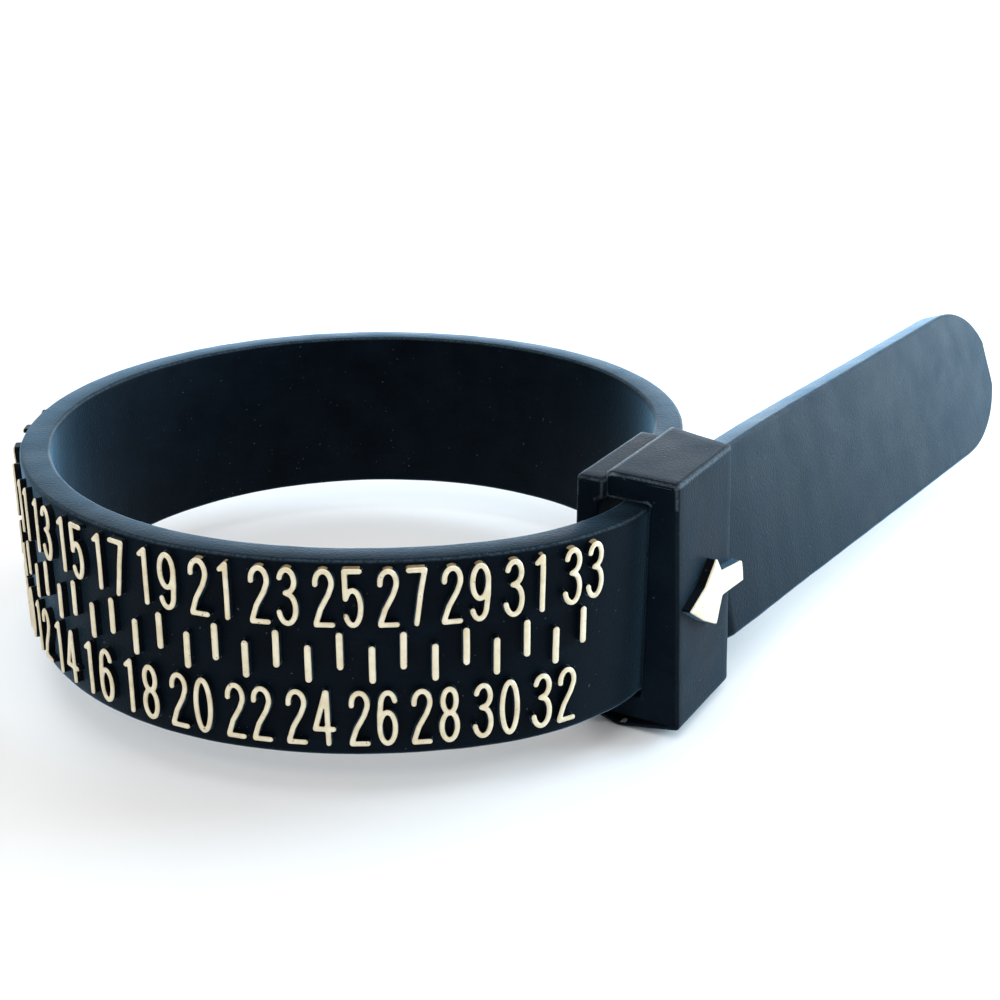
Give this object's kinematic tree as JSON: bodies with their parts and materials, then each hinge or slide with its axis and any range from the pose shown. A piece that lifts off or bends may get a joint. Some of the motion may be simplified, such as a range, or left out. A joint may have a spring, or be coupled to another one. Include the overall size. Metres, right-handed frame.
{
  "type": "ring sizer belt",
  "caption": "Thin flexible plastic band closed into a finger loop by a slotted buckle with a raised arrow, with raised gold size numbers and a free tail.",
  "frame": {"origin": "centre of the finger loop, at mid height of the band", "axes": "+Z along the loop's axis, towards the band's upper edge, beside the odd sizes; +X towards the buckle's side; the tail runs off towards +X and +Y"},
  "size_m": [0.0462, 0.0376, 0.0105],
  "materials": {
    "band_plastic": "near-black blue moulded plastic with a fine matte grain and paler worn edges",
    "gold_foil": "pale gold stamping foil on the raised faces, black below it on their sides"
  },
  "bodies": {
    "buckle": {"buckle_block": "band_plastic", "buckle_flange": "band_plastic", "buckle_arrow": "gold_foil"},
    "tail": {"tail_band": "band_plastic", "tail_sizes": "gold_foil", "tail_ticks": "gold_foil"},
    "link_01": {"link_01": "band_plastic", "sizes_01": "gold_foil", "ticks_01": "gold_foil"},
    "link_02": {"link_02": "band_plastic", "sizes_02": "gold_foil", "ticks_02": "gold_foil"},
    "link_03": {"link_03": "band_plastic", "sizes_03": "gold_foil", "ticks_03": "gold_foil"},
    "link_04": {"link_04": "band_plastic", "sizes_04": "gold_foil", "ticks_04": "gold_foil"},
    "link_05": {"link_05": "band_plastic", "sizes_05": "gold_foil", "ticks_05": "gold_foil"},
    "link_06": {"link_06": "band_plastic", "sizes_06": "gold_foil", "ticks_06": "gold_foil"},
    "link_07": {"link_07": "band_plastic"},
    "link_08": {"link_08": "band_plastic"},
    "link_09": {"link_09": "band_plastic"},
    "link_10": {"link_10": "band_plastic"},
    "link_11": {"link_11": "band_plastic"},
    "link_12": {"link_12": "band_plastic"}
  },
  "joints": [
    {"name": "band_slide", "type": "slide", "parent": "buckle", "child": "tail", "axis": [0.5664, 0.8241, 0], "range_m": [-0.012, 0.0036]},
    {"name": "bend_01", "type": "hinge", "parent": "tail", "child": "link_01", "pos_m": [0.00716, -0.01216, 0], "axis": [0, 0, 1], "range_deg": [-17.32, 5.23]},
    {"name": "bend_02", "type": "hinge", "parent": "link_01", "child": "link_02", "pos_m": [0.0011, -0.0136, 0], "axis": [0, 0, 1], "range_deg": [-0.56, 1.73]},
    {"name": "bend_03", "type": "hinge", "parent": "link_02", "child": "link_03", "pos_m": [-0.00516, -0.01263, 0], "axis": [0, 0, 1], "range_deg": [-0.5, 1.56]},
    {"name": "bend_04", "type": "hinge", "parent": "link_03", "child": "link_04", "pos_m": [-0.01031, -0.00894, 0], "axis": [0, 0, 1], "range_deg": [-0.52, 1.63]},
    {"name": "bend_05", "type": "hinge", "parent": "link_04", "child": "link_05", "pos_m": [-0.01335, -0.0028, 0], "axis": [0, 0, 1], "range_deg": [-0.78, 2.5]},
    {"name": "bend_06", "type": "hinge", "parent": "link_05", "child": "link_06", "pos_m": [-0.01317, 0.00353, 0], "axis": [0, 0, 1], "range_deg": [-1.36, 4.4]},
    {"name": "bend_07", "type": "hinge", "parent": "link_06", "child": "link_07", "pos_m": [-0.01035, 0.00889, 0], "axis": [0, 0, 1], "range_deg": [-2.05, 6.72]},
    {"name": "bend_08", "type": "hinge", "parent": "link_07", "child": "link_08", "pos_m": [-0.00548, 0.01249, 0], "axis": [0, 0, 1], "range_deg": [-2.47, 8.12]},
    {"name": "bend_09", "type": "hinge", "parent": "link_08", "child": "link_09", "pos_m": [0.00047, 0.01363, 0], "axis": [0, 0, 1], "range_deg": [-2.25, 7.38]},
    {"name": "bend_10", "type": "hinge", "parent": "link_09", "child": "link_10", "pos_m": [0.00632, 0.01209, 0], "axis": [0, 0, 1], "range_deg": [-1.09, 3.53]},
    {"name": "bend_11", "type": "hinge", "parent": "link_10", "child": "link_11", "pos_m": [0.01072, 0.0082, 0], "axis": [0, 0, 1], "range_deg": [-4.73, 1.45]},
    {"name": "bend_12", "type": "hinge", "parent": "link_11", "child": "link_12", "pos_m": [0.01268, 0.00263, 0], "axis": [0, 0, 1], "range_deg": [-14.75, 4.46]}
  ],
  "couplings": [
    {"joint": "bend_01", "follows": "band_slide", "rad_per_m": 25.123},
    {"joint": "bend_02", "follows": "band_slide", "rad_per_m": -2.4505},
    {"joint": "bend_03", "follows": "band_slide", "rad_per_m": -2.1957},
    {"joint": "bend_04", "follows": "band_slide", "rad_per_m": -2.2961},
    {"joint": "bend_05", "follows": "band_slide", "rad_per_m": -3.5597},
    {"joint": "bend_06", "follows": "band_slide", "rad_per_m": -6.3286},
    {"joint": "bend_07", "follows": "band_slide", "rad_per_m": -9.7082},
    {"joint": "bend_08", "follows": "band_slide", "rad_per_m": -11.743},
    {"joint": "bend_09", "follows": "band_slide", "rad_per_m": -10.666},
    {"joint": "bend_10", "follows": "band_slide", "rad_per_m": -5.0569},
    {"joint": "bend_11", "follows": "band_slide", "rad_per_m": 6.8002},
    {"joint": "bend_12", "follows": "band_slide", "rad_per_m": 21.38}
  ]
}
